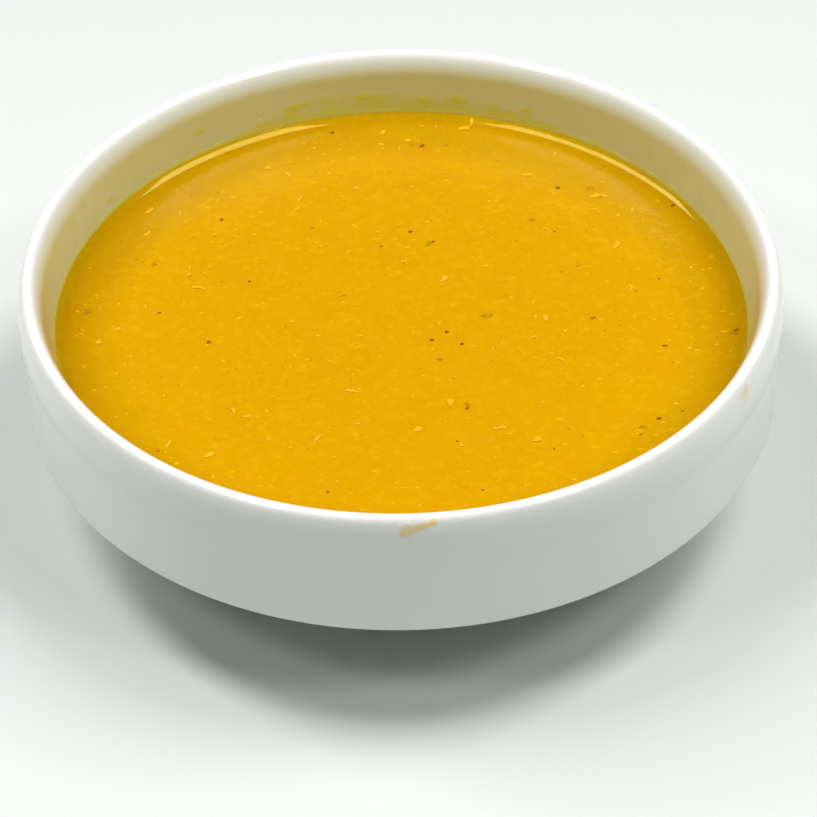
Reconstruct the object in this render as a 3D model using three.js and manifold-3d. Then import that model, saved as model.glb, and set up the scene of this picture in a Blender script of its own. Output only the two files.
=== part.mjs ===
// Lentil soup in a low, straight-sided white porcelain bowl.
// Millimetres, +Z up, origin on the table under the middle of the foot ring.
//
// The bowl is one turned body: a rounded rim, an upright band that ends in a sharp lower edge,
// a stacking shoulder under that edge, and a lower body that narrows to a foot ring.
// The soup is one body too. It fills the bowl to a little below the rim, climbs the wall in a
// short meniscus, and carries its floating flecks, skins and specks as low relief.

import * as THREE from 'three';
import { mergeVertices } from 'three/addons/utils/BufferGeometryUtils.js';
import Module from 'manifold-3d';

// ---- driving sizes of the bowl
const bowlHeight = 44;
const rimRadius = 65;          // outermost point, at the rim
const rimWidth = 3.4;          // from the wall's inner face to its outer face, both run up to the top
const rimInnerRound = 1.5;     // the rim's inner rounding takes this much of its top
const rimInnerDrop = 4;        // and reaches this far down
const rimOuterRound = 1.7;     // the same for its outer rounding, which is longer
const rimOuterDrop = 6.2;
const bandRadius = 64.85;      // the upright band, a hair inside the rim
const bandTopDrop = 8;         // rim to where the band is upright
const bandHeight = 23.7;       // rim to sharp lower edge
const bandEdgeRound = 0.8;
const shoulderRadius = 59.6;   // where the flat shoulder under the band meets the lower body
const footRadius = 34.5;       // foot ring, outside and inside
const footInnerRadius = 30.6;
const footHeight = 3.4;
const footRound = 0.6;
const footRecess = 2.6;        // the base inside the foot ring stands this far off the table

// ---- driving sizes of the bowl's inside
const wallLean = 0.2;          // the inner face closes in by this much for each mm down
const wallEndHeight = 27.3;    // below this the wall turns into the floor
const floorRadius = 24;        // the flat middle of the floor
const floorHeight = 7.6;
const floorDish = 0.3;         // the middle of the floor is this much lower

// ---- driving sizes of the soup
const fitGap = 0.3;            // between the soup and the bowl
const soupEdgeDrop = 11.05;    // from the rim down to the soup's edge on the wall
const meniscusRise = 2;        // the edge stands this far above the level middle
const meniscusReach = 2.1;     // the rise fades by a factor e over this distance
const fleckRise = 0.34;        // how far a fleck stands out of the soup

const turnSteps = 96;

// ---- the flecks that stand out most: x and y from the middle in mm, length, turn in degrees
const lentilSkins = [
  [12.5, 56.2, 3.4, 35], [-20, 42.8, 2.4, 120], [23, 41.8, 2.6, 0], [36, 35.3, 3.2, 165],
  [-45, 32.4, 2.6, 45], [38, 20.9, 2.2, 60], [7.5, 12, 2.2, 55], [-35, 10.5, 3, 170],
  [40, 8.5, 2.1, 80], [25, 0.6, 2.4, 100], [27, -10.8, 2.3, 150], [-8.5, -17.8, 2.8, 165],
  [8, -21.2, 2.2, 95], [-26, -23.7, 2.6, 0], [2.5, -27.7, 2.1, 50], [-14, -29.7, 2.4, 55],
  [22, -30.7, 2, 20], [-32, -33.1, 2.2, 30],
];
const pepperSpecks = [
  [-12, 55.2, 1.2, 0], [4.5, 51.2, 1.4, 30], [28.5, 37.8, 1.4, 0], [-31.5, 29.9, 1.1, 0],
  [2, 25.4, 1.2, 40], [5.5, 21.9, 2, 60], [-54, 4.1, 2.4, 30], [15, 1.6, 2.8, 0],
  [33, 0.6, 1.5, 30], [8, -2.9, 1, 0], [-33, -4.4, 1.2, 0], [57, -4.4, 1.8, 0],
  [45, -7.3, 1.4, 0], [11, -22.2, 1.6, 120], [42.5, -26.2, 1.4, 0], [39.5, -28.7, 1.9, 0],
];
const scatteredFlecks = 36;    // smaller ones, where there is room

// ---- sizes that follow
const rimInnerRadius = rimRadius - rimWidth;
const bandBottom = bowlHeight - bandHeight;
const wallRadius = (height) => rimInnerRadius - wallLean * (bowlHeight - height);
const soupEdgeHeight = bowlHeight - soupEdgeDrop;
const soupEdgeRadius = wallRadius(soupEdgeHeight) - fitGap;
const soupLevel = soupEdgeHeight - meniscusRise;

const point = (radius, height) => new THREE.Vector2(radius, height);

/** Points of a circular arc about (radius, height), from one angle to another in degrees. */
function arc(radius, height, size, from, to, steps) {
  const points = [];
  for (let i = 0; i <= steps; i += 1) {
    const angle = THREE.MathUtils.degToRad(from + (to - from) * i / steps);
    points.push(point(radius + size * Math.cos(angle), height + size * Math.sin(angle)));
  }
  return points;
}

/** The inner face of the bowl, from where its wall begins to bend down to the middle of the floor. */
function insideFace() {
  const wallBend = 5.2;
  const floorBend = 17;
  const bend = new THREE.CubicBezierCurve(
    point(wallRadius(wallEndHeight), wallEndHeight),
    point(wallRadius(wallEndHeight - wallBend), wallEndHeight - wallBend),
    point(floorRadius + floorBend, floorHeight + 0.6),
    point(floorRadius, floorHeight),
  );
  return [...bend.getPoints(9), point(0, floorHeight - floorDish)];
}

/** Moves an outline sideways by a distance, to its right as it runs. */
function offset(points, distance) {
  return points.map((here, i) => {
    const before = points[Math.max(i - 1, 0)];
    const after = points[Math.min(i + 1, points.length - 1)];
    const along = after.clone().sub(before).normalize();
    return point(here.x + along.y * distance, here.y - along.x * distance);
  });
}

/** Half the bowl's section, from under the base, round the outside and the rim, to the floor. */
function bowlOutline() {
  const lowerBody = new THREE.QuadraticBezierCurve(
    point(footRadius + 0.5, footHeight + 0.9),
    point(48.5, 10.6),
    point(shoulderRadius, bandBottom - 1.2),
  );
  const rimOutside = new THREE.QuadraticBezierCurve(
    point(rimRadius, bowlHeight - rimOuterDrop),
    point(rimRadius, bowlHeight),
    point(rimRadius - rimOuterRound, bowlHeight),
  );
  const rimInside = new THREE.QuadraticBezierCurve(
    point(rimInnerRadius + rimInnerRound, bowlHeight),
    point(rimInnerRadius, bowlHeight),
    point(wallRadius(bowlHeight - rimInnerDrop), bowlHeight - rimInnerDrop),
  );
  return [
    point(0, footRecess),
    point(footInnerRadius - 1.4, footRecess),
    ...arc(footInnerRadius + footRound, footRound, footRound, 180, 270, 2),
    ...arc(footRadius - footRound, footRound, footRound, 270, 360, 2),
    point(footRadius, footHeight),
    ...lowerBody.getPoints(5),
    point(shoulderRadius + 1.2, bandBottom),
    ...arc(bandRadius - bandEdgeRound, bandBottom + bandEdgeRound, bandEdgeRound, 270, 360, 3),
    point(bandRadius, bowlHeight - bandTopDrop),
    ...rimOutside.getPoints(4),
    ...rimInside.getPoints(5),
    ...insideFace(),
  ];
}

/** The soup's height at a distance from the middle: level, then up the wall. */
function soupHeight(radius) {
  return soupLevel + meniscusRise * Math.exp((radius - soupEdgeRadius) / meniscusReach);
}

/** Half the soup's section, from the middle of its underside, up the wall, to the middle of the top. */
function soupOutline() {
  const contact = point(wallRadius(soupEdgeHeight), soupEdgeHeight);
  const underside = offset([contact, ...insideFace()], fitGap).reverse();
  underside[0].set(0, floorHeight - floorDish + fitGap);
  underside[underside.length - 1].set(soupEdgeRadius, soupEdgeHeight);
  const top = [0.8, 1.7, 2.9, 4.6, 7.5, 12]
    .map((inward) => soupEdgeRadius - inward)
    .map((radius) => point(radius, soupHeight(radius)));
  return [...underside, ...top, point(0, soupLevel)];
}

/** Turns half a section about the upright axis. */
function turned(outline) {
  return new THREE.LatheGeometry(outline, turnSteps).rotateX(Math.PI / 2);
}

/** A curled flake or a grain, lying half sunk: an ellipsoid bent sideways along its length. */
function fleck([x, y, length, turn], width, bend) {
  const shape = new THREE.SphereGeometry(1, 6, 4).rotateX(Math.PI / 2);
  const places = shape.attributes.position;
  for (let i = 0; i < places.count; i += 1) {
    const along = places.getX(i);
    places.setXYZ(
      i,
      along * length / 2,
      places.getY(i) * width / 2 + bend * length * along * along,
      places.getZ(i) * fleckRise,
    );
  }
  return shape
    .rotateZ(THREE.MathUtils.degToRad(turn))
    .translate(x, y, soupHeight(Math.hypot(x, y)));
}

/** A small repeatable random source, 0 to 1. */
function seeded(seed) {
  let state = seed;
  return () => {
    state = (state * 1664525 + 1013904223) % 4294967296;
    return state / 4294967296;
  };
}

/** Every fleck that stands in relief: the listed ones, then others where there is room. */
function allFlecks() {
  const places = [...lentilSkins, ...pepperSpecks];
  const solids = [
    ...lentilSkins.map((place) => fleck(place, 0.8, 0.22)),
    ...pepperSpecks.map((place) => fleck(place, place[2] * 0.75, 0)),
  ];
  const random = seeded(17);
  const clearance = 4;
  const reach = 52;
  let placed = 0;
  while (placed < scatteredFlecks) {
    const radius = reach * Math.sqrt(random());
    const angle = 2 * Math.PI * random();
    const [x, y] = [radius * Math.cos(angle), radius * Math.sin(angle)];
    const length = 1.2 + 0.7 * random();
    const turn = 180 * random();
    if (places.every((other) => Math.hypot(other[0] - x, other[1] - y) > clearance)) {
      places.push([x, y, length, turn]);
      solids.push(fleck([x, y, length, turn], 0.7, 0.15));
      placed += 1;
    }
  }
  return solids;
}

const wasm = await Module();
wasm.setup();

/** A closed three.js geometry as a solid that can be joined. */
function solid(geometry) {
  const bare = geometry.clone();
  bare.deleteAttribute('normal');
  bare.deleteAttribute('uv');
  const merged = mergeVertices(bare, 1e-4);
  return new wasm.Manifold(new wasm.Mesh({
    numProp: 3,
    vertProperties: merged.attributes.position.array,
    triVerts: Uint32Array.from(merged.index.array),
  }));
}

/** A joined solid back as a geometry. */
function geometryOf(joined) {
  const mesh = joined.getMesh();
  const geometry = new THREE.BufferGeometry();
  geometry.setAttribute('position', new THREE.BufferAttribute(mesh.vertProperties, 3));
  geometry.setIndex(new THREE.BufferAttribute(mesh.triVerts, 1));
  geometry.computeVertexNormals();
  return geometry;
}

const porcelain = new THREE.MeshStandardMaterial({ color: 0xf3f5ec, roughness: 0.15, metalness: 0 });
const lentilSoup = new THREE.MeshStandardMaterial({ color: 0xe9aa07, roughness: 0.35, metalness: 0 });

function makeBowl() {
  const mesh = new THREE.Mesh(turned(bowlOutline()), porcelain);
  mesh.name = 'bowl';
  return mesh;
}

function makeSoup() {
  const body = solid(turned(soupOutline()));
  const joined = allFlecks().reduce((whole, shape) => whole.add(solid(shape)), body);
  const mesh = new THREE.Mesh(geometryOf(joined), lentilSoup);
  mesh.name = 'soup';
  return mesh;
}

const model = new THREE.Group();
model.add(makeBowl(), makeSoup());

export default model;
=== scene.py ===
# %% [markdown]
# # Lentil soup in a low porcelain bowl
# A thick yellow lentil soup stands in a plain white bowl. What makes it look real is small: a short
# rim of liquid that climbs the wall, a trace of soup left on the porcelain above it, and hundreds of
# skins, grains, pepper specks and bits of herb that float in it. The measured model comes first,
# because every piece is fitted to it.

# %% Load the measured model
import math

import bmesh
import bpy
import numpy as np
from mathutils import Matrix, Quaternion, Vector


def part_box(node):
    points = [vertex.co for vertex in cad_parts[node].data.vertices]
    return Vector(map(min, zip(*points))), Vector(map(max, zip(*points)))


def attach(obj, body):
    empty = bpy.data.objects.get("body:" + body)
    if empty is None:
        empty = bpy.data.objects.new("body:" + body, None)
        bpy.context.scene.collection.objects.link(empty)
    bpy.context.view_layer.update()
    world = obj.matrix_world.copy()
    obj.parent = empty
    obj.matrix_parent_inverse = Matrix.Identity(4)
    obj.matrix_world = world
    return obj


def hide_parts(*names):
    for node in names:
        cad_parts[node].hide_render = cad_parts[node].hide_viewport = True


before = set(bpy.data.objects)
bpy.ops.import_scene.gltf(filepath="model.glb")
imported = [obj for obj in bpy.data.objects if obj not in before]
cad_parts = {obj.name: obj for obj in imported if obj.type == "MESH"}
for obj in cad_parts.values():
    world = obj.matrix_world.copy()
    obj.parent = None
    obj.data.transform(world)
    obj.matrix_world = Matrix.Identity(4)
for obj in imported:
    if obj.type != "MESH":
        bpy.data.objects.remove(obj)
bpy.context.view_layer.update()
bowl_low, bowl_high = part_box("bowl")
soup_low, soup_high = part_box("soup")
print("nodes:", sorted(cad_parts))

# %% [markdown]
# ## Sizes
# A maker of bowls thinks in millimetres, so the shapes below are worked out in millimetres and
# turned into metres once, when a mesh is made. The bowl's height, its radius and the height of the
# soup's edge are read from the model. The other sizes belong to the bowl's section, and they are the
# measured model's own, so that the dressed bowl lies on the measured one. Only two corners are drawn
# softer here: the one at the top of the band, and the one where the base meets the foot.

# %% Sizes in millimetres
MM = 0.001
BOWL_HEIGHT = bowl_high.z / MM
RIM_RADIUS = bowl_high.x / MM
SOUP_EDGE_HEIGHT = soup_high.z / MM

RIM_WIDTH = 3.4
RIM_INNER_ROUND = 1.5
RIM_INNER_DROP = 4
RIM_OUTER_ROUND = 1.7
RIM_OUTER_DROP = 6.2
RIM_EASE = 1.6
BAND_RADIUS = RIM_RADIUS - 0.15
BAND_TOP = BOWL_HEIGHT - 10
BAND_BOTTOM = BOWL_HEIGHT - 23.7
BAND_EDGE_ROUND = 0.8
SHOULDER_RADIUS = 59.6
SHOULDER_BEVEL = 1.2
LOWER_BODY_HANDLE = (48.5, 10.6)
FOOT_FLARE = (0.5, 0.9)
FOOT_RADIUS = 34.5
FOOT_INNER_RADIUS = 30.6
FOOT_HEIGHT = 3.4
FOOT_ROUND = 0.6
FOOT_RECESS = 2.6
BASE_INSET = 1.4
BASE_ROUND = 0.5

RIM_INNER_RADIUS = RIM_RADIUS - RIM_WIDTH
WALL_LEAN = 0.2
WALL_END_HEIGHT = 27.3
WALL_BEND = 5.2
FLOOR_BEND = 17
FLOOR_LIFT = 0.6
FLOOR_RADIUS = 24
FLOOR_HEIGHT = 7.6
FLOOR_DISH = 0.3


def wall_radius(height):
    """Radius of the bowl's inner wall at a height on its straight part."""
    return RIM_INNER_RADIUS - WALL_LEAN * (BOWL_HEIGHT - height)


SOUP_EDGE_RADIUS = wall_radius(SOUP_EDGE_HEIGHT)
print(f"bowl {2 * RIM_RADIUS:.0f} mm across and {BOWL_HEIGHT:.0f} mm high")
print(f"soup {2 * SOUP_EDGE_RADIUS:.1f} mm across, {BOWL_HEIGHT - SOUP_EDGE_HEIGHT:.1f} mm below the rim")

# %% [markdown]
# ## From points to a piece
# Every mesh here is worked out as arrays of points and faces. One function turns them into an
# object, smooths it, hangs it on the model's one body and gives it its finish. It also prints the
# volume, which comes out negative when the faces of a closed body point inwards.


# %% Points and faces to an object
def make_piece(name, points, faces, finish, slot, crease=180):
    """An object from points in millimetres. Edges that bend by more than crease degrees stay sharp."""
    mesh = bpy.data.meshes.new(name)
    mesh.from_pydata((np.asarray(points) * MM).tolist(), [], faces)
    mesh.polygons.foreach_set("use_smooth", [True] * len(mesh.polygons))
    if crease < 180:
        mesh.set_sharp_from_angle(angle=math.radians(crease))
    mesh.materials.append(finish)
    piece = bpy.data.objects.new(name, mesh)
    bpy.context.scene.collection.objects.link(piece)
    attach(piece, "root")
    shape = bmesh.new()
    shape.from_mesh(mesh)
    volume = shape.calc_volume(signed=True) / MM**3
    triangles = sum(len(face.verts) - 2 for face in shape.faces)
    open_edges = sum(not edge.is_manifold for edge in shape.edges)
    shape.free()
    print(f"{name}: {triangles} triangles, {volume:.2f} cubic mm, {open_edges} open edges")
    return piece


# %% [markdown]
# ## Finishes, written as sums
# A procedural finish is a graph of nodes, and most of its nodes only add or multiply. Wrapping a
# node's output in a small class lets a mask be written as `1 - wear * 0.4`, and each sign then adds
# its own Math node. Colours never go through a Math node, which would turn them grey.


# %% The class for shader sums
class Wire:
    """The output of a shader node. Sums of wires and numbers add Math nodes."""

    def __init__(self, tree, socket=None):
        self.tree = tree
        self.socket = socket

    def node(self, kind, settings=None, sockets=None, outlet=0):
        """Any node: its settings go in first, then the values or wires of its sockets."""
        made = self.tree.nodes.new(kind)
        for key, value in (settings or {}).items():
            setattr(made, key, value)
        for key, value in (sockets or {}).items():
            socket = made.inputs[key]
            if isinstance(value, Wire):
                self.tree.links.new(value.socket, socket)
            elif socket.type == "RGBA":
                socket.default_value = (*value, 1)
            else:
                socket.default_value = value
        return Wire(self.tree, made.outputs[outlet] if made.outputs else None)

    def sum(self, operation, first, second=0.0):
        return self.node("ShaderNodeMath", {"operation": operation}, {0: first, 1: second})

    def __add__(self, other):
        return self.sum("ADD", self, other)

    def __sub__(self, other):
        return self.sum("SUBTRACT", self, other)

    def __rsub__(self, other):
        return self.sum("SUBTRACT", other, self)

    def __mul__(self, other):
        return self.sum("MULTIPLY", self, other)

    __radd__ = __add__
    __rmul__ = __mul__

    def between(self, low, high):
        """0 up to low, 1 from high on, and a soft step between. Low above high turns it round."""
        limits = {"Value": self, "From Min": low, "From Max": high}
        return self.node("ShaderNodeMapRange", {"interpolation_type": "SMOOTHSTEP"}, limits)

    def noise(self, size, detail=2.0):
        """Cloudy noise, 0 to 1, over this place. Its patches are about size millimetres."""
        sockets = {"Vector": self, "Scale": 1 / size, "Detail": detail}
        return self.node("ShaderNodeTexNoise", None, sockets)

    def mix(self, start, end):
        """A colour that goes from start to end by this mask."""
        return self.node("ShaderNodeMix", {"data_type": "RGBA"}, {0: self, 6: start, 7: end}, outlet=2)

    def tinted(self, mask, tint):
        """This colour, multiplied by a tint where the mask is 1."""
        settings = {"data_type": "RGBA", "blend_type": "MULTIPLY"}
        return self.node("ShaderNodeMix", settings, {0: mask, 6: self, 7: tint}, outlet=2)

    def bump(self, depth):
        """A normal raised by this height, times depth in millimetres."""
        return self.node("ShaderNodeBump", None, {"Height": self, "Distance": depth * MM})


# %% [markdown]
# A finish starts from the place on the object, scaled so that it counts in millimetres, and needs
# no texture map. The shader's constants are set on its own sockets, and only what varies over the
# surface is wired in.


# %% Start and end of a finish
def start_finish(name):
    """An empty material, and where a point lies on the object in millimetres."""
    finish = bpy.data.materials.new(name)
    finish.use_nodes = True
    finish.node_tree.nodes.clear()
    start = Wire(finish.node_tree)
    metres = start.node("ShaderNodeTexCoord", outlet="Object")
    place = start.node("ShaderNodeVectorMath", {"operation": "SCALE"}, {0: metres, "Scale": 1 / MM})
    return finish, place


def end_finish(place, **inputs):
    """The surface shader, from socket names written with _ for each blank."""
    sockets = {key.replace("_", " "): value for key, value in inputs.items()}
    shader = place.node("ShaderNodeBsdfPrincipled", None, sockets)
    place.node("ShaderNodeOutputMaterial", None, {"Surface": shader})


def part_of(place, axis):
    """One coordinate, X, Y or Z, of a place."""
    return place.node("ShaderNodeSeparateXYZ", None, {0: place}, outlet=axis)


def radius_of(place):
    """How far a place is from the upright axis."""
    flat = place.node("ShaderNodeVectorMath", {"operation": "MULTIPLY"}, {0: place, 1: (1, 1, 0)})
    return place.node("ShaderNodeVectorMath", {"operation": "LENGTH"}, {0: flat}, outlet="Value")


# %% [markdown]
# ## The bowl
# A bowl like this is pressed or turned on a wheel, so half its section turned about the upright
# axis is the whole shape. A subdivision surface could round a coarse section, but it would shift
# the wall. The section is drawn with true arcs and one curve for each bend instead, which keeps
# every size and gives clean reflections along the rim.


# %% Lines of the section
def arc(radius, height, size, start, stop, steps):
    """Points of a circular arc about (radius, height). Its angles are in degrees."""
    angles = np.radians(np.linspace(start, stop, steps + 1))
    return np.column_stack([radius + size * np.cos(angles), height + size * np.sin(angles)])


def curve(steps, *handles):
    """Points of a Bezier curve with any number of handles."""
    share = np.linspace(0, 1, steps + 1)[:, None]
    last = len(handles) - 1
    weights = [math.comb(last, k) * share**k * (1 - share) ** (last - k) for k in range(last + 1)]
    return sum(weight * np.array(handle) for weight, handle in zip(weights, handles))


def inside_face(steps):
    """The bowl's inner face, from where its wall begins to bend down to the middle of its floor."""
    bend = curve(
        steps,
        (wall_radius(WALL_END_HEIGHT), WALL_END_HEIGHT),
        (wall_radius(WALL_END_HEIGHT - WALL_BEND), WALL_END_HEIGHT - WALL_BEND),
        (FLOOR_RADIUS + FLOOR_BEND, FLOOR_HEIGHT + FLOOR_LIFT),
        (FLOOR_RADIUS, FLOOR_HEIGHT),
    )
    return np.vstack([bend, (0, FLOOR_HEIGHT - FLOOR_DISH)])


def rim_section(steps):
    """From the top of the upright band, over the rim, to the inner wall, in three soft curves."""
    outside_end = BOWL_HEIGHT - RIM_OUTER_DROP
    inside_end = BOWL_HEIGHT - RIM_INNER_DROP
    return np.vstack([
        curve(
            steps,
            (BAND_RADIUS, BAND_TOP),
            (BAND_RADIUS, BAND_TOP + RIM_EASE),
            (RIM_RADIUS, outside_end - RIM_EASE),
            (RIM_RADIUS, outside_end),
        ),
        curve(
            steps,
            (RIM_RADIUS, outside_end),
            (RIM_RADIUS, BOWL_HEIGHT),
            (RIM_RADIUS - RIM_OUTER_ROUND, BOWL_HEIGHT),
        )[1:],
        curve(
            steps,
            (RIM_INNER_RADIUS + RIM_INNER_ROUND, BOWL_HEIGHT),
            (RIM_INNER_RADIUS, BOWL_HEIGHT),
            (wall_radius(inside_end), inside_end),
        ),
    ])


def evened(outline, longest):
    """The outline with more points on its long stretches, so that smooth shading stays local."""
    points = [outline[0]]
    for here, there in zip(outline[:-1], outline[1:]):
        count = math.ceil(np.linalg.norm(there - here) / longest)
        points += [here + (there - here) * k / count for k in range(1, count + 1)]
    return np.array(points)


def turned(outline, steps):
    """A closed body: an outline that starts and ends on the axis, turned about it."""
    angles = 2 * np.pi * np.arange(steps) / steps
    rings = [[(r * np.cos(a), r * np.sin(a), z) for a in angles] for r, z in outline[1:-1]]
    points = [(0, 0, outline[0][1]), (0, 0, outline[-1][1])]
    points += [point for ring in rings for point in ring]
    first, last = 2, 2 + (len(rings) - 1) * steps
    faces = []
    for j in range(steps):
        k = (j + 1) % steps
        faces.append((0, first + k, first + j))
        faces.append((1, last + j, last + k))
        for ring in range(first, last, steps):
            faces.append((ring + j, ring + k, ring + steps + k, ring + steps + j))
    return points, faces


# %% Half the bowl's section
bowl_outline = np.vstack([
    (0, FOOT_RECESS),
    arc(FOOT_INNER_RADIUS - BASE_INSET, FOOT_RECESS - BASE_ROUND, BASE_ROUND, 90, 50, 3),
    arc(FOOT_INNER_RADIUS + FOOT_ROUND, FOOT_ROUND, FOOT_ROUND, 180, 270, 6),
    arc(FOOT_RADIUS - FOOT_ROUND, FOOT_ROUND, FOOT_ROUND, 270, 360, 6),
    (FOOT_RADIUS, FOOT_HEIGHT),
    curve(
        24,
        (FOOT_RADIUS + FOOT_FLARE[0], FOOT_HEIGHT + FOOT_FLARE[1]),
        LOWER_BODY_HANDLE,
        (SHOULDER_RADIUS, BAND_BOTTOM - SHOULDER_BEVEL),
    ),
    (SHOULDER_RADIUS + SHOULDER_BEVEL, BAND_BOTTOM),
    arc(BAND_RADIUS - BAND_EDGE_ROUND, BAND_BOTTOM + BAND_EDGE_ROUND, BAND_EDGE_ROUND, 270, 360, 9),
    rim_section(steps=20),
    inside_face(steps=24),
])
print(len(bowl_outline), "points in the section")

# %% [markdown]
# ### The glaze
# Porcelain is a white body under a clear, hard glaze. The body scatters light and the glaze
# mirrors it, so the body is the rough base of the shader and the glaze is its coat. The glaze is
# wavy over centimetres and a little uneven over millimetres, and both are bump, because they are
# a few hundredths of a millimetre deep. The foot's resting edge is wiped clean before firing, so
# the coat stops there. Inside, below the rim, a faint yellow is painted into the white as painted
# bounce light from the soup. Near the soup the yellow is stronger, most of all at the back. There it
# is partly a real stain, where soup has run back down the wall in soft upright streaks, and partly
# painted bounce light and shade from the soup. Each of these masks is a stretch of height, radius
# or depth, from where it begins to where it is full.

# %% Porcelain
PORCELAIN_WHITE = (0.77, 0.778, 0.75)
PORCELAIN_SHADE = (0.75, 0.758, 0.73)
BARE_CLAY = (0.70, 0.67, 0.60)
# Painted bounce light from the soup, on the inner wall below the rim.
PAINTED_SOUP_BOUNCE = (0.94, 1.0, 0.83)
# A real soup stain mixed with painted bounce light and shade, near the soup.
SOUP_STAIN_AND_BOUNCE = (0.80, 0.72, 0.39)

WITHIN_RIM = (RIM_RADIUS - 2, RIM_RADIUS - 3)
ABOVE_SHOULDER = (BAND_BOTTOM + 4, BAND_BOTTOM + 7)
BELOW_RIM = (BOWL_HEIGHT - 0.2, BOWL_HEIGHT - 2.4)
NEAR_SOUP = (BOWL_HEIGHT - 1.8, BOWL_HEIGHT - 4.6)
AT_BACK = (20, 52)
STREAK_STRETCH = (1, 1, 0.45)
CAST_EVEN = 0.65
CAST_STREAKS = 0.4
CAST_AT_BACK = 0.25


def porcelain_with_painted_bounce(place):
    """The white of the porcelain, with painted soup bounce light inside below the rim, and near the soup a
    yellow that is part stain and part painted bounce light and shade.
    """
    stretched = place.node("ShaderNodeVectorMath", {"operation": "MULTIPLY"}, {0: place, 1: STREAK_STRETCH})
    height = part_of(place, "Z")
    inside = radius_of(place).between(*WITHIN_RIM) * height.between(*ABOVE_SHOULDER)
    white = place.noise(14).mix(PORCELAIN_SHADE, PORCELAIN_WHITE)
    # Painted bounce light: the soup's yellow, painted onto the inner wall below the rim.
    white = white.tinted(inside * height.between(*BELOW_RIM), PAINTED_SOUP_BOUNCE)
    # Near the soup: a real stain in upright streaks, stronger at the back, mixed with painted bounce light
    # and shade.
    streaks = stretched.noise(3.2, 3) * CAST_STREAKS
    at_back = part_of(place, "Y").between(*AT_BACK) * CAST_AT_BACK
    near_soup = inside * height.between(*NEAR_SOUP)
    return white.tinted(near_soup * (CAST_EVEN + streaks + at_back), SOUP_STAIN_AND_BOUNCE)


GLAZE_STARTS = (0.15, 0.5)

porcelain, place = start_finish("porcelain_glaze")
glazed = part_of(place, "Z").between(*GLAZE_STARTS)
waves = place.noise(9, 1) + place.noise(1.6, 2) * 0.12
end_finish(
    place,
    Base_Color=glazed.mix(BARE_CLAY, porcelain_with_painted_bounce(place)),
    Roughness=0.62 - glazed * 0.12 + place.noise(5) * 0.06,
    Specular_IOR_Level=0.1,
    Coat_Weight=glazed,
    Coat_Roughness=0.05,
    Coat_IOR=1.5,
    Normal=waves.bump(0.02),
)

# %% Turn the bowl
bowl_points, bowl_faces = turned(evened(bowl_outline, longest=1.4), steps=288)
bowl = make_piece("porcelain_bowl", bowl_points, bowl_faces, porcelain, "porcelain", crease=40)
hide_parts("bowl")

# %% [markdown]
# ## The soup's surface
# A thick soup isn't flat. It sags from where it clings to the wall, within a few millimetres, and
# it keeps low swells from being poured. The swells are laid over each other from soft waves in
# all directions with a fixed seed, so that they come out the same each time. They are only
# hundredths of a millimetre high, but a wet surface shows them, because they bend what it mirrors.


# %% Height of the soup at any place
MENISCUS_RISE = 2.0
MENISCUS_REACH = 2.1
SWELL_HEIGHT = 0.018
RIPPLE_HEIGHT = 0.004
CALM_EDGE = 6


def swells(x, y, shortest, longest, seed, waves=16):
    """Soft random hills with a spread of 1: waves from all directions, laid over each other."""
    random = np.random.default_rng(seed)
    total = np.zeros(np.shape(x))
    for _ in range(waves):
        length, angle, start = random.uniform(shortest, longest), *random.uniform(0, 2 * np.pi, 2)
        total += np.sin(2 * np.pi * (x * np.cos(angle) + y * np.sin(angle)) / length + start)
    return total * math.sqrt(2 / waves)


def soup_height(x, y):
    """The soup's height, in millimetres, at the place x, y."""
    inward = SOUP_EDGE_RADIUS - np.hypot(x, y)
    level = SOUP_EDGE_HEIGHT - MENISCUS_RISE * (1 - np.exp(-inward / MENISCUS_REACH))
    relief = SWELL_HEIGHT * swells(x, y, shortest=12, longest=34, seed=3)
    relief += RIPPLE_HEIGHT * swells(x, y, shortest=3, longest=7, seed=4)
    return level + np.clip(inward / CALM_EDGE, 0, 1) * relief


print(f"the middle lies {SOUP_EDGE_HEIGHT - float(soup_height(0.0, 0.0)):.2f} mm under the soup's edge")

# %% [markdown]
# The surface needs small, even faces out to a round edge. Plain rings would crowd their points in
# the middle, so a square net is pressed into a circle instead: each ring then has eight points
# more than the one inside it.


# %% A square net pressed into a disc
def disc_net(rings):
    """Columns of distance (0 to 1) and angle for a net of points, its faces, and its outer loop."""
    steps = np.arange(-rings, rings + 1)
    a, b = (side.ravel() for side in np.meshgrid(steps, steps, indexing="ij"))
    ring = np.maximum(abs(a), abs(b))
    sideways = abs(a) >= abs(b)
    with np.errstate(divide="ignore", invalid="ignore"):
        angle = np.where(sideways, np.pi / 4 * b / a, np.pi / 2 - np.pi / 4 * a / b)
    angle = np.where(ring == 0, 0, angle + np.pi * np.where(sideways, a < 0, b < 0))
    width = 2 * rings + 1
    number = np.arange(width * width).reshape(width, width)
    corners = number[:-1, :-1], number[1:, :-1], number[1:, 1:], number[:-1, 1:]
    faces = np.stack([corner.ravel() for corner in corners], axis=1)
    loop = np.concatenate([number[-1, :-1], number[:0:-1, -1], number[0, :0:-1], number[:-1, 0]])
    return ring / rings, angle, faces.tolist(), loop


SOUP_RINGS = 138

distance, angle, soup_faces, loop = disc_net(SOUP_RINGS)
print(len(distance), "points on top,", len(loop), "of them round the edge")

# %% [markdown]
# Under the net the soup goes on as a closed body: one loop of points follows the other down the
# wall and in over the floor, a hair under the porcelain's face, so that no gap can show. On top,
# the rings of the net draw closer towards the wall, where the surface bends most.

# %% The soup as a closed body
WALL_OVERLAP = 0.15
EDGE_CROWDING = 0.5
UNDERSIDE_STARTS = 0.6

crowded = (1 + EDGE_CROWDING) * distance - EDGE_CROWDING * distance**2
soup_radius = (SOUP_EDGE_RADIUS + WALL_OVERLAP) * crowded
soup_x, soup_y = soup_radius * np.cos(angle), soup_radius * np.sin(angle)
top_points = np.column_stack([soup_x, soup_y, soup_height(soup_x, soup_y)])

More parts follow.
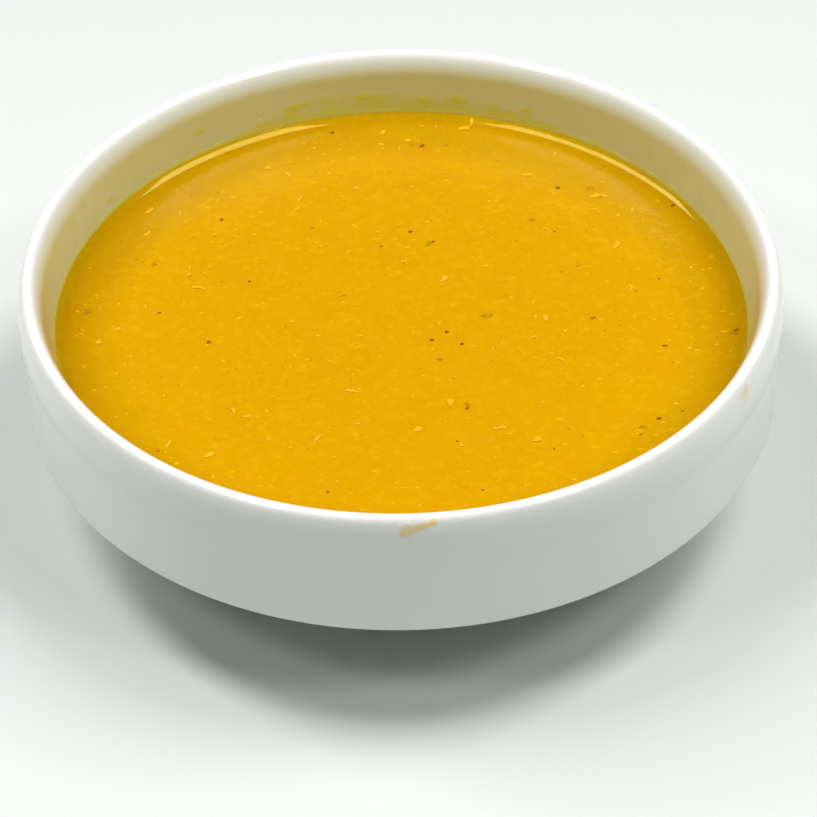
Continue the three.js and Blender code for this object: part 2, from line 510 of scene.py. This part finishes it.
below_edge = SOUP_EDGE_HEIGHT - UNDERSIDE_STARTS
underside = np.vstack([(wall_radius(below_edge), below_edge), inside_face(steps=10)])
underside = evened(underside, longest=8)[:-1]
rings = [top_points]
count = len(top_points)
before = loop
for r, z in underside:
    rings.append(np.column_stack([
        (r + WALL_OVERLAP) * np.cos(angle[loop]),
        (r + WALL_OVERLAP) * np.sin(angle[loop]),
        np.full(len(loop), z - WALL_OVERLAP),
    ]))
    here = count + np.arange(len(loop))
    count += len(loop)
    for j in range(len(loop)):
        k = (j + 1) % len(loop)
        soup_faces.append((before[k], before[j], here[j], here[k]))
    before = here
rings.append([(0, 0, FLOOR_HEIGHT - FLOOR_DISH - WALL_OVERLAP)])
soup_faces += [(before[(j + 1) % len(loop)], before[j], count) for j in range(len(loop))]
soup_points = np.vstack(rings)
print(len(soup_points), "points in", len(rings) - 1, "rings below the top")

# %% [markdown]
# ### The soup's colour
# Pureed lentils are opaque: fine curds in a thick yellow liquid, which mottle its colour. Near the
# wall a deeper yellow is painted in as painted shade: light that sinks into the soup there is lost
# in the shade of the wall. At the very edge the soup is a thin wedge over white porcelain, and pales
# again. The liquid gives the surface its gloss. The gloss is smooth where the soup climbs the wall
# and dimpled elsewhere, and it is tinged with yellow, because real lentil soup has almost no blue,
# even where it shines. The four bands are stretches of radius, from where each begins to where it is
# full.

# %% Lentil soup
WATER_IOR = 1.33
SOUP_YELLOW = (0.552, 0.273, 0.0007)
SOUP_DEEP = (0.535, 0.259, 0.0005)
CURD_PALE = (0.585, 0.302, 0.0012)
# Painted shade of the wall on the soup near it, as a deeper yellow.
PAINTED_WALL_SHADE = (0.84, 0.87, 0.8)
EDGE_THIN = (1.03, 1.18, 2.0)
YELLOW_GLOSS = (1.0, 0.9, 0.2)

WALL_SHADE_BAND = (45.5, 54)
THIN_BAND = (57.9, 59.1)
DIMPLED_BAND = (57.5, 50)
DULLER_BAND = (57.8, 56.4)

lentil_soup, place = start_finish("lentil_soup")
clouds = place.noise(7, 3).between(0.3, 0.7)
curds = place.noise(1.5, 4).between(0.46, 0.68)
pits = place.noise(1.1, 3).between(0.44, 0.30)
colour = (curds * 0.7).mix(clouds.mix(SOUP_DEEP, SOUP_YELLOW), CURD_PALE)
colour = (pits * 0.6).mix(colour, SOUP_DEEP)
radius = radius_of(place)
# Painted shade: the soup is painted a deeper yellow near the wall, where the wall shades it.
colour = colour.tinted(radius.between(*WALL_SHADE_BAND), PAINTED_WALL_SHADE)
dimples = radius.between(*DIMPLED_BAND) * (curds * 0.5 + place.noise(1.3))
end_finish(
    place,
    Base_Color=colour.tinted(radius.between(*THIN_BAND), EDGE_THIN),
    Roughness=0.08 + radius.between(*DULLER_BAND) * (0.07 + place.noise(0.7) * 0.1),
    IOR=WATER_IOR,
    Specular_Tint=YELLOW_GLOSS,
    Normal=dimples.bump(0.08),
)

# %% Fill the bowl
soup = make_piece("lentil_soup_body", soup_points, soup_faces, lentil_soup, "lentil_soup")
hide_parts("soup")

# %% [markdown]
# ## What floats in the soup
# Three kinds of things stand out in it: pale lentil skins, which curl, black pepper, which is
# broken into angular grains, and olive bits of dried herb, which are soaked and lie half sunk. The
# largest stand where they do on the real one, and the rest are strewn by a seeded rule. Each kind
# is one mesh, because an object for every crumb would be slow to handle. The first helpers make
# one small shape each, lying at the origin.


# %% Single small shapes
def strand(length, width, thickness, bend, random, stations=9, sides=8):
    """A strip of skin, bent by so many degrees along its length, and blunter at one end."""
    along = np.linspace(-1, 1, stations + 2)
    heading = np.radians(bend) * along / 2
    path = np.cumsum(np.column_stack([np.cos(heading), np.sin(heading)]), axis=0)
    path = (path - path.mean(axis=0)) * length / (stations + 1)
    fullness = np.sqrt(1 - along**2) * (1 + 0.3 * along) * random.uniform(0.8, 1.2, stations + 2)
    around = 2 * np.pi * np.arange(sides) / sides
    sideways = np.column_stack([-np.sin(heading), np.cos(heading)])
    points = [(*path[0], 0)]
    for i in range(1, stations + 1):
        across = np.cos(around)[:, None] * sideways[i] * width / 2 * fullness[i]
        up = np.sin(around) * thickness / 2 * fullness[i]
        points += np.column_stack([path[i] + across, up]).tolist()
    points.append((*path[-1], 0))
    faces = []
    tip = len(points) - 1
    for j in range(sides):
        k = (j + 1) % sides
        faces.append((0, 1 + k, 1 + j))
        faces.append((tip, tip - sides + j, tip - sides + k))
        for ring in range(1, tip - sides, sides):
            faces.append((ring + j, ring + k, ring + sides + k, ring + sides + j))
    return np.array(points), faces


def crumb(length, width, height, jag, random, detail=2, sunk=0):
    """A broken grain: a ball, its points pushed in and out, squeezed to size and sunk by a share."""
    ball = bmesh.new()
    bmesh.ops.create_icosphere(ball, subdivisions=detail, radius=0.5)
    points = np.array([vertex.co for vertex in ball.verts])
    faces = [tuple(vertex.index for vertex in face.verts) for face in ball.faces]
    ball.free()
    points *= random.uniform(1 - jag, 1 + jag, (len(points), 1))
    return (points - (0, 0, sunk)) * (length, width, height), faces


# %% [markdown]
# The helpers below set a small shape down on the soup and gather a whole kind into one mesh. Every
# point of a shape is lifted by the soup's height right under it, so a skin near the wall follows
# the slope there.


# %% Setting shapes down on the soup
def laid(shape, x, y, turn):
    """A small shape, turned by some degrees and laid on the soup about the place x, y."""
    points, faces = shape
    angle = math.radians(turn)
    there_x = x + points[:, 0] * math.cos(angle) - points[:, 1] * math.sin(angle)
    there_y = y + points[:, 0] * math.sin(angle) + points[:, 1] * math.cos(angle)
    return np.column_stack([there_x, there_y, points[:, 2] + soup_height(there_x, there_y)]), faces


def gathered(shapes):
    """Many shapes as one set of points and one list of faces."""
    points, faces, count = [], [], 0
    for shape_points, shape_faces in shapes:
        points.append(shape_points)
        faces += [tuple(count + corner for corner in face) for face in shape_faces]
        count += len(shape_points)
    return np.vstack(points), faces


def strewn(number, reach, seed):
    """Places x, y and a random source for each, spread evenly over the soup out to a radius."""
    random = np.random.default_rng(seed)
    for _ in range(number):
        radius, angle = reach * math.sqrt(random.uniform()), random.uniform(0, 2 * math.pi)
        yield radius * math.cos(angle), radius * math.sin(angle), random


# %% [markdown]
# All of them are wet and take up the soup's gloss, so their finishes differ only in two colours, in
# the size of the patches of each and in how rough they are. One function makes them all.


# %% Finish of a thing that floats
def soaked_finish(name, first, second, patch, roughness):
    """A wet finish in two colours, in patches of a size in millimetres."""
    finish, place = start_finish(name)
    end_finish(
        place,
        Base_Color=place.noise(patch).between(0.35, 0.65).mix(first, second),
        Roughness=roughness + place.noise(patch / 2) * 0.2,
        IOR=WATER_IOR,
        Specular_Tint=YELLOW_GLOSS,
        Normal=place.noise(patch * 0.4).bump(0.02),
    )
    return finish


# %% [markdown]
# ### Lentil skins
# A skin that comes off a lentil rolls up into a comma, a hook or a short bar, 1 to 3 mm long. It
# is paler than the soup, and wet. The list gives the ones that stand out, each with its place, its
# length and width, the way it lies and how far it is curled. A width in the list is that of the pale
# middle, and the skin's thin sides make it half as wide again.

# %% Pale skins
SKIN_LIGHT = (0.74, 0.385, 0.012)
SKIN_DARK = (0.66, 0.335, 0.006)

SKIN_THICKNESS = 0.45
SMALL_SKIN_THICKNESS = 0.2
SIDES_WIDEN = 1.5

lentil_skin = soaked_finish("lentil_skin", SKIN_DARK, SKIN_LIGHT, patch=0.9, roughness=0.25)

# x, y, length, width, turn, curl
SHOWN_SKINS = [
    (12.2, 55.6, 2.4, 0.7, 0, 10), (13.6, 56.6, 1.6, 0.6, 75, 30), (-2.9, 55.2, 1.5, 0.6, 40, 80),
    (1.8, 52.9, 1.4, 0.9, 10, 20), (0.2, 50.4, 1.1, 0.4, 90, 10), (-23.9, 45.3, 1.2, 0.7, 20, 40),
    (-20.2, 43.0, 2.0, 0.4, 120, 140), (-12.7, 43.1, 1.0, 0.5, 60, 30), (-7.8, 38.7, 1.4, 0.7, 0, 30),
    (-17.9, 35.7, 1.7, 0.5, 50, 70), (-44.8, 32.6, 2.4, 0.6, 45, 50), (-44.9, 26.1, 2.1, 0.5, 50, 20),
    (-33.0, 25.5, 1.1, 0.5, 20, 20), (-29.1, 24.8, 0.9, 0.4, 160, 30), (-37.1, 14.2, 1.2, 0.5, 20, 10),
    (-35.2, 10.5, 3.0, 0.5, 165, 80), (-48.8, -0.4, 1.4, 0.5, 10, 10), (-51.8, -3.9, 1.2, 0.8, 30, 30),
    (-8.5, -17.9, 2.7, 0.5, 165, 25), (-28.2, -22.5, 1.5, 0.7, 100, 50), (-26.1, -23.8, 2.2, 0.5, 0, 160),
    (-40.0, -18.4, 1.0, 0.4, 85, 10), (23.1, 41.8, 2.8, 0.6, 0, 15), (35.2, 35.2, 2.0, 0.8, 25, 60),
    (36.8, 35.0, 1.6, 0.6, 150, 40), (34.9, 31.1, 1.8, 0.3, 20, 60), (26.0, 25.4, 1.6, 0.3, 140, 90),
    (38.2, 20.7, 2.2, 0.9, 60, 20), (7.6, 11.9, 2.2, 0.8, 50, 25), (39.9, 8.5, 2.3, 0.5, 80, 170),
    (24.9, 0.7, 2.0, 0.8, 95, 20), (27.0, -10.7, 2.2, 0.3, 140, 90), (22.5, -4.5, 1.0, 0.5, 20, 10),
    (8.0, -21.1, 1.9, 1.0, 90, 30), (-38.8, -30.6, 2.0, 0.5, 55, 60), (-31.9, -33.4, 2.1, 0.7, 35, 20),
    (-14.2, -29.7, 2.3, 0.6, 55, 20), (-7.5, -26.3, 1.2, 0.5, 0, 10), (2.4, -27.9, 1.9, 0.8, 35, 20),
    (15.7, -27.9, 2.2, 0.4, 0, 130), (22.1, -30.9, 1.7, 0.9, 15, 20), (48.8, -8.3, 1.3, 0.5, 20, 30),
]

random = np.random.default_rng(11)
skins = [
    laid(strand(length, width * SIDES_WIDEN, SKIN_THICKNESS, curl, random), x, y, turn)
    for x, y, length, width, turn, curl in SHOWN_SKINS
]
for x, y, random in strewn(number=90, reach=54, seed=12):
    length, curl, turn = random.uniform(0.6, 1.4), random.uniform(-90, 90), random.uniform(0, 360)
    width = random.uniform(0.35, 0.6)
    skins.append(laid(strand(length, width, SMALL_SKIN_THICKNESS, curl, random), x, y, turn))
make_piece("lentil_skins", *gathered(skins), lentil_skin, "lentil_soup")

# %% [markdown]
# ### Pepper
# Cracked pepper breaks into angular grains, nearly black with reddish brown patches. A ball of 80
# faces with its points pushed about has the right broken look at 1 mm. Some points are pushed
# outwards, so a grain is made a little smaller than it shows.

# %% Dark specks
PEPPER_BLACK = (0.16, 0.042, 0.0003)
PEPPER_BROWN = (0.36, 0.135, 0.0005)

PEPPER_SHARE = 0.85
PEPPER_THICKNESS = 0.3

pepper = soaked_finish("cracked_pepper", PEPPER_BLACK, PEPPER_BROWN, patch=0.5, roughness=0.4)

# x, y, length, width, turn
SHOWN_PEPPER = [
    (-12.1, 55.1, 1.1, 0.8, 0), (4.4, 51.2, 1.2, 0.8, 30), (28.7, 37.7, 1.1, 0.8, 0),
    (-31.8, 29.9, 0.9, 0.8, 0), (1.9, 25.5, 1.1, 0.9, 40), (5.9, 22.6, 0.8, 0.6, 60),
    (-26.4, 12.2, 0.7, 0.6, 0), (-41.8, 3.8, 0.7, 0.6, 0), (33.0, 0.4, 1.3, 0.6, 30),
    (7.8, -2.7, 0.9, 0.7, 0), (5.2, -4.8, 1.0, 0.7, 0), (10.3, -6.0, 0.9, 0.7, 20),
    (-33.0, -4.4, 1.0, 0.8, 0), (57.2, -4.5, 1.4, 1.0, 0), (44.8, -7.4, 1.1, 0.7, 0),
    (45.1, 10.9, 0.5, 0.4, 0), (10.8, -22.8, 0.9, 0.8, 120), (42.5, -26.3, 1.0, 0.7, 0),
    (39.2, -30.3, 0.7, 0.5, 0), (46.6, -24.6, 0.6, 0.4, 0), (8.9, -31.1, 0.4, 0.4, 0),
    (24.8, -33.4, 0.5, 0.4, 0), (12.8, -43.2, 0.6, 0.4, 0), (-40.4, -32.3, 0.7, 0.5, 0),
    (-12.4, -43.0, 0.7, 0.5, 0), (-3.3, 21.5, 0.6, 0.4, 0), (27.6, 24.8, 0.6, 0.4, 0),
    (49.0, 30.7, 0.9, 0.6, 0),
]

random = np.random.default_rng(21)
grains = [
    laid(
        crumb(length * PEPPER_SHARE, width * PEPPER_SHARE, PEPPER_THICKNESS, jag=0.3, random=random),
        x, y, turn,
    )
    for x, y, length, width, turn in SHOWN_PEPPER
]
make_piece("cracked_pepper", *gathered(grains), pepper, "lentil_soup", crease=50)

# %% [markdown]
# ### Herb
# The bits of dried herb have soaked up soup. They are soft, flat and olive brown, and they lie half
# sunk, so they show as dull stains more than as things. A sunk flake shows less than its whole
# outline, so it is made a little larger than it shows.

# %% Olive flecks
HERB_OLIVE = (0.43, 0.208, 0.0005)
HERB_BROWN = (0.37, 0.172, 0.0005)

HERB_JAG = 0.15
HERB_SUNK = 0.25
HERB_THICKNESS = 0.16
SMALL_HERB_THICKNESS = 0.12
SUNK_LENGTHEN = 1.1
SUNK_WIDEN = 1.2

herb = soaked_finish("soaked_herb", HERB_OLIVE, HERB_BROWN, patch=0.8, roughness=0.2)

# x, y, length, width, turn
SHOWN_HERB = [
    (5.2, 21.9, 1.9, 1.1, 60), (-15.5, 27.1, 1.1, 0.9, 0), (-43.4, 17.2, 1.2, 0.9, 20),
    (-54.2, 4.1, 2.0, 1.2, 60), (-10.2, 7.6, 1.6, 0.4, 20), (8.8, 51.1, 1.0, 0.8, 0),
    (34.5, 37.3, 1.5, 0.8, 10), (23.5, 28.4, 1.3, 1.0, 0), (31.3, 14.9, 1.2, 0.5, 30),
    (28.3, 13.3, 0.9, 0.6, 0), (14.8, 1.5, 2.6, 1.1, 0), (6.5, -10.1, 1.1, 0.8, 0),
    (10.8, -21.9, 1.2, 1.0, 120), (39.7, -28.5, 1.5, 1.0, 0), (56.8, -5.0, 1.9, 1.2, 10),
    (2.6, 51.5, 1.1, 0.4, 10),
]


def flake(length, width, thickness, random):
    """A soft bit of herb, half sunk."""
    return crumb(length, width, thickness, HERB_JAG, random, sunk=HERB_SUNK)


random = np.random.default_rng(31)
flakes = [
    laid(flake(length * SUNK_LENGTHEN, width * SUNK_WIDEN, HERB_THICKNESS, random), x, y, turn)
    for x, y, length, width, turn in SHOWN_HERB
]
for x, y, random in strewn(number=36, reach=55, seed=32):
    length, turn = random.uniform(0.4, 0.9), random.uniform(0, 180)
    flakes.append(laid(flake(length, length * 0.6, SMALL_HERB_THICKNESS, random), x, y, turn))
make_piece("herb_flecks", *gathered(flakes), herb, "lentil_soup")

# %% [markdown]
# ### Fine grains
# Between the large bits the soup is full of lentil grains, most of them under a millimetre, and of
# pepper dust. One at a time they hardly show. Together they keep the surface from looking like
# paint. Both are crumbs again, flat ones, and the grains lie half sunk.

# %% Lentil grains and pepper dust
GRAIN_PALE = (0.65, 0.335, 0.003)
GRAIN_YELLOW = (0.59, 0.303, 0.0015)

GRAIN_THICKNESS = 0.14
GRAIN_SUNK = 0.28
DUST_THICKNESS = 0.12

lentil_grain = soaked_finish("lentil_grain", GRAIN_YELLOW, GRAIN_PALE, patch=1.5, roughness=0.1)
small_grains = []
for x, y, random in strewn(number=420, reach=57, seed=41):
    length, width = random.uniform(0.5, 1.3), random.uniform(0.4, 0.7)
    grain = crumb(length, width, GRAIN_THICKNESS, jag=0.12, random=random, sunk=GRAIN_SUNK)
    small_grains.append(laid(grain, x, y, turn=0))
make_piece("lentil_grains", *gathered(small_grains), lentil_grain, "lentil_soup")

dust = []
for x, y, random in strewn(number=90, reach=57, seed=42):
    length, width = random.uniform(0.15, 0.35), random.uniform(0.12, 0.25)
    speck = crumb(length, width, DUST_THICKNESS, jag=0.25, random=random, detail=1)
    dust.append(laid(speck, x, y, turn=0))
make_piece("pepper_dust", *gathered(dust), pepper, "lentil_soup")

# %% [markdown]
# ## Soup on the porcelain
# A wet film of soup clings to the wall just above the soup. At the back the soup has slopped up
# higher, and has left a faint tide line and a few drops. A spoon has left two smears on the rim.
# Painting them into the glaze would give colour without an edge. These are real layers, so each is a
# thin closed sheet: its outer face stands off the porcelain by its thickness, and its inner face
# lies just under the glaze. Where the thickness falls below nothing the sheet sinks in, and the line
# where it does is its edge. The thickness is stored with each point, for the finish to read.

# %% A thin layer over a face of the bowl
LAYER_SINK = 0.12


def layer(base, normal, thickness, name, finish):
    """A closed sheet over a net of places, with their normals and a thickness that may be negative."""
    rows, columns = thickness.shape
    number = np.arange(rows * columns).reshape(rows, columns)
    quads = [number[:-1, :-1], number[:-1, 1:], number[1:, 1:], number[1:, :-1]]
    quads = np.stack([quad.ravel() for quad in quads], axis=1)
    quads = quads[thickness.ravel()[quads].max(axis=1) > 0]
    sides = {}
    for quad in quads.tolist():
        for a, b in zip(quad, quad[1:] + quad[:1]):
            if not sides.pop((b, a), None):
                sides[(a, b)] = True
    back = rows * columns
    faces = [tuple(quad) for quad in quads.tolist()]
    faces += [tuple(back + corner for corner in reversed(quad)) for quad in quads.tolist()]
    faces += [(b, a, back + a, back + b) for a, b in sides]
    outer = base + normal * thickness[..., None]
    inner = base - normal * LAYER_SINK
    points = np.concatenate([outer.reshape(-1, 3), inner.reshape(-1, 3)])
    used = sorted({corner for face in faces for corner in face})
    renumber = {old: new for new, old in enumerate(used)}
    faces = [tuple(renumber[corner] for corner in face) for face in faces]
    piece = make_piece(name, points[used], faces, finish, "lentil_soup")
    stored = np.concatenate([thickness.ravel(), thickness.ravel()])[used]
    attribute = piece.data.attributes.new("thickness", "FLOAT", "POINT")
    attribute.data.foreach_set("value", stored.astype(np.float32))


# %% [markdown]
# A layer this thin shows the porcelain through it. Real see-through matter would be slow to render,
# so the layer takes the porcelain's colour, painted soup bounce included, and tints it, more and
# more up to a first thickness.
# From there it goes over into the soup's own yellow. It has a clear gloss over it as the glaze has,
# or its edge would show as a pale line.

# %% Dried soup
FILM_TINT = (1.0, 0.95, 0.32)
FILM_TINT_FULL = 0.03
SMEAR_TINT = (1.0, 0.80, 0.36)
SMEAR_TINT_FULL = 0.06
OPAQUE_FROM = 0.2


def dried_finish(name, tint, tint_full):
    """Soup that dries on porcelain: a tint up to a thickness, then the soup's own yellow."""
    finish, place = start_finish(name)
    thick = place.node("ShaderNodeAttribute", {"attribute_name": "thickness"}, outlet="Fac")
    stained = porcelain_with_painted_bounce(place).tinted(thick.between(0.0, tint_full), tint)
    end_finish(
        place,
        Base_Color=thick.between(tint_full, OPAQUE_FROM).mix(stained, SOUP_YELLOW),
        Roughness=0.5 + place.noise(0.8) * 0.1,
        Specular_IOR_Level=0.1,
        Coat_Weight=1.0,
        Coat_Roughness=0.08,
        Coat_IOR=1.5,
        Normal=place.noise(0.8).bump(0.005),
    )
    return finish


# %% [markdown]
# The film's upper edge stands just under 1 mm above the soup all round, and about 4 mm at the back.
# It is drawn through a few points, each an azimuth in degrees from the right-hand side and a height
# over the soup's edge. At the front, out of sight, a gap of a few degrees keeps the sheet simple.

# %% Outline of the film
FILM_EDGE = [
    (-90, -1.0), (-87, 0.8), (48, 0.8), (57, 1.3), (68, 3.0), (80, 3.8), (90, 4.1), (106, 4.6),
    (110, 3.6), (118, 1.2), (126, 0.8), (267, 0.8), (270, -1.0),
]
FILM_DROPS = [
    (126.7, 4.2), (107.4, 3.1), (96.1, 3.2), (84.9, 2.3), (79.2, 2.9), (66.6, 2.8), (149.3, 2.5),
]
FILM_NET = 0.22
FILM_LOWEST = -0.8
FILM_HIGHEST = 5.5
EDGE_WAVER = 0.12

azimuths = np.radians(np.arange(-90, 270, math.degrees(FILM_NET / SOUP_EDGE_RADIUS)))
heights = np.arange(FILM_LOWEST, FILM_HIGHEST, FILM_NET)
azimuth, height_up = np.meshgrid(azimuths, heights, indexing="ij")
around = azimuth * SOUP_EDGE_RADIUS
edge_azimuths, edge_heights = zip(*FILM_EDGE)
edge = np.interp(np.degrees(azimuth), edge_azimuths, edge_heights)
edge += EDGE_WAVER * swells(around, 0 * around, shortest=3, longest=14, seed=51)
print(f"the film's edge stands {edge.max():.1f} mm above the soup at the most")

# %% [markdown]
# The film is thickest in a wet line along the soup, which thins out within about half a millimetre.
# Above it the film is nearly even, and feathers out at its upper edge. Each drop is a low hill with
# its foot cut off, and is laid on top of the film.

# %% Thickness of the film
FILM_THICKNESS = 0.018
FILM_FEATHER = 1.1
FILM_UNEVENNESS = 0.004
WET_THICKNESS = 0.08
WET_REACH = 0.4
WET_FEATHER = 0.5
DROP_THICKNESS = 0.035
DROP_HALF_WIDTH = 1.6
DROP_HALF_HEIGHT = 0.7
DROP_CUT = 0.008

under = edge - height_up
film = FILM_THICKNESS * np.clip(under / FILM_FEATHER, -1, 1)
film += FILM_UNEVENNESS * swells(around, height_up * 1.3, shortest=3, longest=9, seed=52)
wet = np.exp(-np.clip(height_up, 0, None) / WET_REACH)
film += WET_THICKNESS * wet * np.clip(under / WET_FEATHER, 0, 1)
for drop_azimuth, drop_height in FILM_DROPS:
    sideways = (around - math.radians(drop_azimuth) * SOUP_EDGE_RADIUS) / DROP_HALF_WIDTH
    upwards = (height_up - drop_height) / DROP_HALF_HEIGHT
    drop = DROP_THICKNESS * np.exp(-(sideways**2) - upwards**2) - DROP_CUT
    film = np.maximum(film, drop + np.clip(film, 0, None))
print(f"the film is {film.max():.3f} mm thick at the most")

# %% Film on the wall
face_height = SOUP_EDGE_HEIGHT + height_up
face_radius = wall_radius(face_height)
cosine, sine = np.cos(azimuth), np.sin(azimuth)
film_base = np.stack([face_radius * cosine, face_radius * sine, face_height], axis=-1)
film_normal = np.stack([-cosine, -sine, np.full(azimuth.shape, WALL_LEAN)], axis=-1)
film_normal /= np.linalg.norm(film_normal, axis=-1, keepdims=True)
film_finish = dried_finish("film_of_soup", FILM_TINT, FILM_TINT_FULL)
layer(film_base, film_normal, film, "soup_film", film_finish)

# %% [markdown]
# A smear lies on the rim's outer rounding. Its place is given along the rim, as an azimuth, and up
# the section, as the distance travelled from the top of the upright band. So one stroke can run
# from the outside onto the flat top without any special case. It is fuller where it starts than
# where it ends, and it is kept inside the bowl's own width and height. One fault is left: the film
# faces inwards and a smear faces outwards, but both nets are wound alike, so a smear's faces point
# inwards and its volume prints negative. An opaque finish looks the same from both sides. Swapping
# the two axes of a smear's net would turn its faces out.

# %% The rim as one line
rim_line = evened(rim_section(steps=24), longest=0.1)
rim_travel = np.concatenate([[0], np.cumsum(np.linalg.norm(np.diff(rim_line, axis=0), axis=1))])
rim_slope = np.gradient(rim_line, rim_travel, axis=0)
print(f"the rim's line is {rim_travel[-1]:.1f} mm long")

# %% Smears on the rim
TURN_STEP = 0.08
TURN_MARGIN = 2
TRAVEL_STEP = 0.09
TRAVEL_MARGIN = 1.6
FULL_AT_START = 1.25
TAPER = 0.6
SMEAR_CUT = 0.3
SMEAR_UNEVENNESS = 0.1
BOX_CLEARANCE = 0.004
LEAST_LEAN = 0.01

smear_finish = dried_finish("dried_smear", SMEAR_TINT, SMEAR_TINT_FULL)


def smear_thickness(along, up, start, end, half_width, depth, seed):
    """How thick a stroke is at places along and up the rim, between its two ends in millimetres."""
    stroke = end - start
    reached = (along - start[0]) * stroke[0] + (up - start[1]) * stroke[1]
    share = np.clip(reached / (stroke @ stroke), 0, 1)
    away = np.hypot(along - start[0] - share * stroke[0], up - start[1] - share * stroke[1])
    reach = half_width * (FULL_AT_START - TAPER * share)
    hill = (1 + SMEAR_CUT) * np.exp(-((away / reach) ** 2)) - SMEAR_CUT
    return depth * (hill + SMEAR_UNEVENNESS * swells(along, up, shortest=1.2, longest=5, seed=seed))


def smear(name, start, end, half_width, depth, seed):
    """A stroke over the rim, from one (azimuth, travel) to another, in degrees and millimetres."""
    (low_turn, high_turn), (low_travel, high_travel) = np.sort([start, end], axis=0).T
    azimuths = np.radians(np.arange(low_turn - TURN_MARGIN, high_turn + TURN_MARGIN, TURN_STEP))
    margin = TRAVEL_MARGIN * half_width
    travels = np.arange(low_travel - margin, high_travel + margin, TRAVEL_STEP)
    azimuth, travel = np.meshgrid(azimuths, travels, indexing="ij")
    first = np.array([math.radians(start[0]) * RIM_RADIUS, start[1]])
    last = np.array([math.radians(end[0]) * RIM_RADIUS, end[1]])
    thickness = smear_thickness(azimuth * RIM_RADIUS, travel, first, last, half_width, depth, seed)

    out, height = (np.interp(travel, rim_travel, rim_line[:, axis]) for axis in (0, 1))
    slope_out, slope_up = (np.interp(travel, rim_travel, rim_slope[:, axis]) for axis in (0, 1))
    size = np.hypot(slope_out, slope_up)
    lean_out, lean_up = slope_up / size, -slope_out / size
    cosine, sine = np.cos(azimuth), np.sin(azimuth)
    base = np.stack([out * cosine, out * sine, height], axis=-1)
    normal = np.stack([lean_out * cosine, lean_out * sine, lean_up], axis=-1)
    room_out = (RIM_RADIUS - BOX_CLEARANCE - out) / np.maximum(lean_out, LEAST_LEAN)
    room_up = (BOWL_HEIGHT - BOX_CLEARANCE - height) / np.maximum(lean_up, LEAST_LEAN)
    room = np.minimum(room_out, room_up)
    layer(base, normal, np.minimum(thickness, room), name, smear_finish)


smear("rim_smear_front", (269.8, 7.9), (274.2, 9.4), half_width=0.95, depth=0.055, seed=61)
smear("rim_smear_right", (329.5, 8.1), (329.8, 8.7), half_width=1.5, depth=0.045, seed=62)

# %% [markdown]
# ## The studio
# The bowl stands on a plain pale floor. Two long softboxes hang level over the bowl, one to each
# side, and each shows as a thin bright arc in the rim of liquid at the back. Two small ones nearer
# the camera lighten the rim's front and the shadow under the bowl. All around it is nearly dark, so
# the soup mirrors little else and keeps its full yellow, and the front of the bowl is lit mostly by
# the floor. An evenly bright surround would be simpler, but it would lay a white veil on the soup.

# %% Floor
FLOOR_PALE = (0.62, 0.637, 0.62)
FLOOR_REACH = 3.0

floor_finish, place = start_finish("pale_floor")
end_finish(place, Base_Color=FLOOR_PALE, Roughness=0.6, Specular_IOR_Level=0.2)
floor_mesh = bpy.data.meshes.new("floor")
corners = [(-1, -1), (1, -1), (1, 1), (-1, 1)]
floor_mesh.from_pydata([(x * FLOOR_REACH, y * FLOOR_REACH, 0) for x, y in corners], [], [(0, 1, 2, 3)])
floor_mesh.materials.append(floor_finish)
floor = bpy.data.objects.new("floor", floor_mesh)
bpy.context.scene.collection.objects.link(floor)


# %% Softboxes
LIGHT_HEIGHT = 900
LIGHT_RADIANCE = 13.9
DARK_GLOW = 0.03


def softbox(name, x, y, length, width, turn):
    """A level rectangular light over the floor, its long side turned by some degrees."""
    light = bpy.data.lights.new(name, "AREA")
    light.shape = "RECTANGLE"
    light.size, light.size_y = length * MM, width * MM
    light.energy = LIGHT_RADIANCE * math.pi * light.size * light.size_y
    lamp = bpy.data.objects.new(name, light)
    lamp.location = Vector((x, y, LIGHT_HEIGHT)) * MM
    lamp.rotation_euler = (0, 0, math.radians(turn))
    bpy.context.scene.collection.objects.link(lamp)
    print(f"{name}: {light.energy:.1f} W")


softbox("softbox_right", x=447, y=92, length=575, width=310, turn=37)
softbox("softbox_left", x=-542, y=222, length=850, width=250, turn=135)
softbox("softbox_front_right", x=550, y=-420, length=280, width=280, turn=0)
softbox("softbox_front_left", x=-550, y=-420, length=220, width=220, turn=0)

world = bpy.data.worlds.new("dark_surround")
bpy.context.scene.world = world
world.use_nodes = True
surround = world.node_tree.nodes["Background"]
surround.inputs["Color"].default_value = (1, 1, 1, 1)
surround.inputs["Strength"].default_value = DARK_GLOW

# %% [markdown]
# The camera looks down at 38 degrees through a long lens, from a little over half a metre. It was
# fitted to the rim, the soup's edge and the lower edge of the band. Its slight roll is the photo's.

# %% Camera
CAMERA_TILT = math.radians(38.24)
CAMERA_DISTANCE = 561.6
CAMERA_AIM = (0.94, -37.76, BOWL_HEIGHT)
CAMERA_ROLL = math.radians(-0.9)
LENS = 145.9
SENSOR_WIDTH = 36
NEAREST_SEEN = 10

camera_data = bpy.data.cameras.new("camera")
camera_data.lens = LENS
camera_data.sensor_width = SENSOR_WIDTH
camera_data.clip_start = NEAREST_SEEN * MM
camera = bpy.data.objects.new("camera", camera_data)
rim_centre = Vector((0, 0, BOWL_HEIGHT))
towards_camera = Vector((0, -math.cos(CAMERA_TILT), math.sin(CAMERA_TILT)))
camera.location = (rim_centre + CAMERA_DISTANCE * towards_camera) * MM
look = (Vector(CAMERA_AIM) * MM - camera.location).to_track_quat("-Z", "Y")
camera.rotation_mode = "QUATERNION"
camera.rotation_quaternion = look @ Quaternion((0, 0, 1), CAMERA_ROLL)
bpy.context.scene.collection.objects.link(camera)
bpy.context.scene.camera = camera
bpy.context.scene.view_settings.view_transform = "Standard"
bpy.context.view_layer.update()
print("camera axes:", [[round(value, 4) for value in column[:3]] for column in camera.matrix_world.col[:3]])
